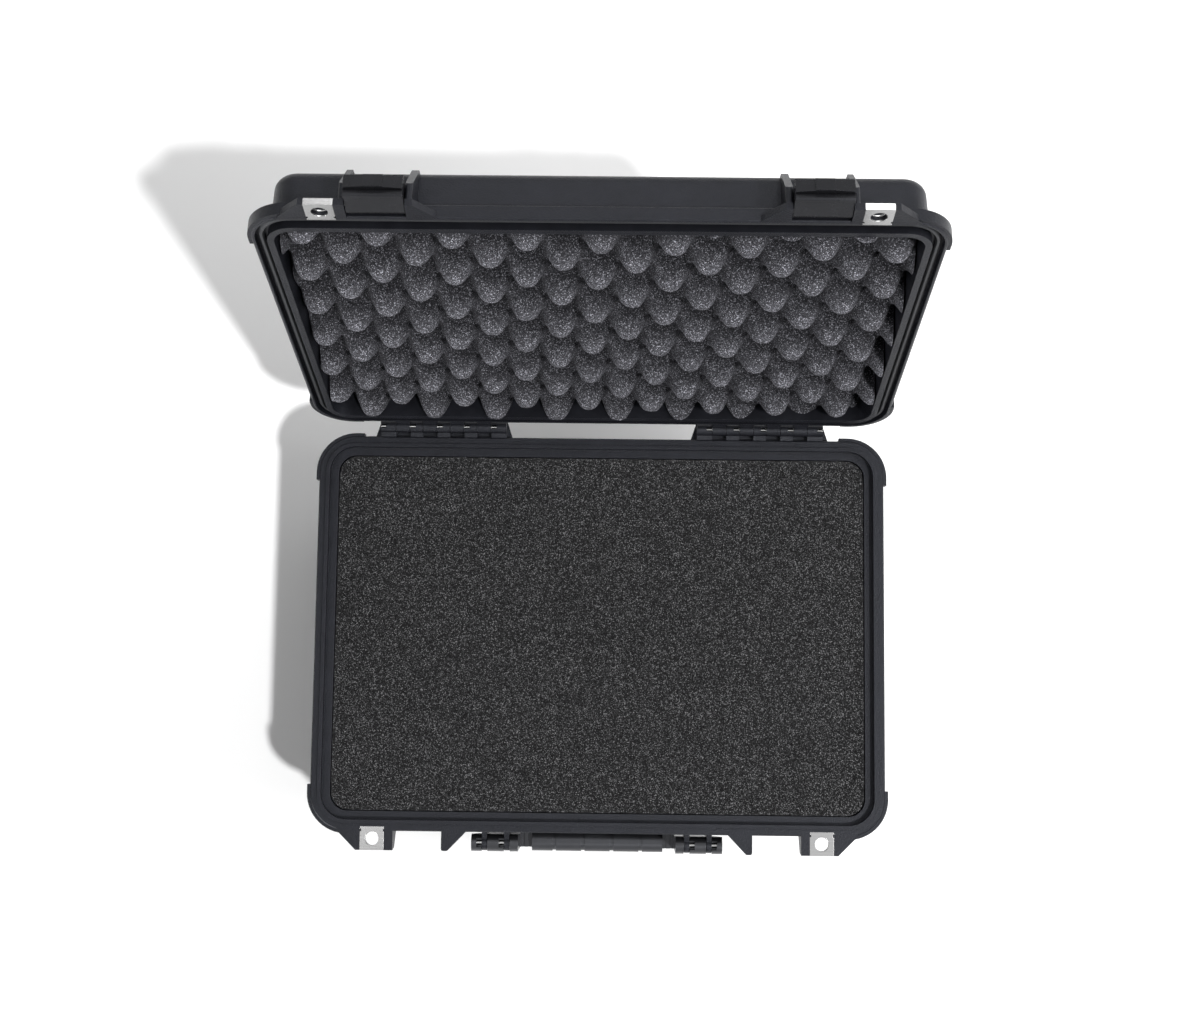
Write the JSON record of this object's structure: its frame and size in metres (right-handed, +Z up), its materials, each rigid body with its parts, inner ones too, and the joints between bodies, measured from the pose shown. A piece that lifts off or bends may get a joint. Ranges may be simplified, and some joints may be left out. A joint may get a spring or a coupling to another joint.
{
  "type": "protective case",
  "caption": "Hard-shell carrying case, lid standing open on rear hinges, with pull latches, padlock lugs, folding handle, rim seal, convoluted lid foam and cubed base foam.",
  "frame": {"origin": "centre of the base's footprint, on the plane of its feet", "axes": "+X to the right seen from the handle side, +Y from the handle to the hinges, +Z up"},
  "size_m": [0.47, 0.4738, 0.4708],
  "materials": {
    "shell": "fine moulded texture",
    "handle_plastic": "smooth moulded",
    "latch_plastic": "smooth moulded",
    "grip_rubber": "satin",
    "seal_rubber": "satin",
    "stainless": "brushed",
    "steel_pin": "ground",
    "base_foam": "open cell foam, flat cut",
    "lid_foam": "open cell foam, convoluted",
    "valve_plastic": "moulded",
    "membrane": "porous film"
  },
  "bodies": {
    "base": {"base_shell": "shell", "base_foam_pad": "base_foam", "pluck_foam_lower": "base_foam", "pluck_foam_upper": "base_foam", "vent_body": "valve_plastic", "vent_membrane": "membrane", "vent_o_ring": "seal_rubber", "vent_nut": "valve_plastic", "hinge_pin_left": "steel_pin", "hinge_pin_right": "steel_pin", "padlock_plate_base_left": "stainless", "padlock_plate_base_right": "stainless", "handle_pin_left": "steel_pin", "handle_pin_right": "steel_pin"},
    "lid": {"lid_shell": "shell", "lid_foam": "lid_foam", "lid_seal": "seal_rubber", "padlock_plate_lid_left": "stainless", "padlock_plate_lid_right": "stainless", "latch_pin_left": "steel_pin", "latch_pin_right": "steel_pin", "lid_lug_guard_left": "shell", "lid_lug_guard_right": "shell", "lid_fin_guard_left": "shell", "lid_fin_guard_right": "shell"},
    "handle": {"handle_frame": "handle_plastic", "handle_grip": "grip_rubber"},
    "latch_hook_left": {"latch_hook_left": "latch_plastic", "latch_lever_pin_left": "steel_pin"},
    "latch_lever_left": {"latch_lever_left": "latch_plastic"},
    "latch_hook_right": {"latch_hook_right": "latch_plastic", "latch_lever_pin_right": "steel_pin"},
    "latch_lever_right": {"latch_lever_right": "latch_plastic"}
  },
  "joints": [
    {"name": "lid_hinge", "type": "hinge", "parent": "base", "child": "lid", "pos_m": [0, 0.1693, 0.126], "axis": [1, 0, 0], "range_deg": [0, 105]},
    {"name": "handle_fold", "type": "hinge", "parent": "base", "child": "handle", "pos_m": [0, -0.1704, 0.108], "axis": [1, 0, 0], "range_deg": [-100, 0]},
    {"name": "latch_swing_left", "type": "hinge", "parent": "lid", "child": "latch_hook_left", "pos_m": [-0.14505, 0.26162, 0.44891], "axis": [1, 0, 0], "range_deg": [0, 102]},
    {"name": "latch_lever_pull_left", "type": "hinge", "parent": "latch_hook_left", "child": "latch_lever_left", "pos_m": [-0.14505, 0.26705, 0.44502], "axis": [1, 0, 0], "range_deg": [-40, 0]},
    {"name": "latch_swing_right", "type": "hinge", "parent": "lid", "child": "latch_hook_right", "pos_m": [0.14505, 0.26162, 0.44891], "axis": [1, 0, 0], "range_deg": [0, 102]},
    {"name": "latch_lever_pull_right", "type": "hinge", "parent": "latch_hook_right", "child": "latch_lever_right", "pos_m": [0.14505, 0.26705, 0.44502], "axis": [1, 0, 0], "range_deg": [-40, 0]}
  ]
}
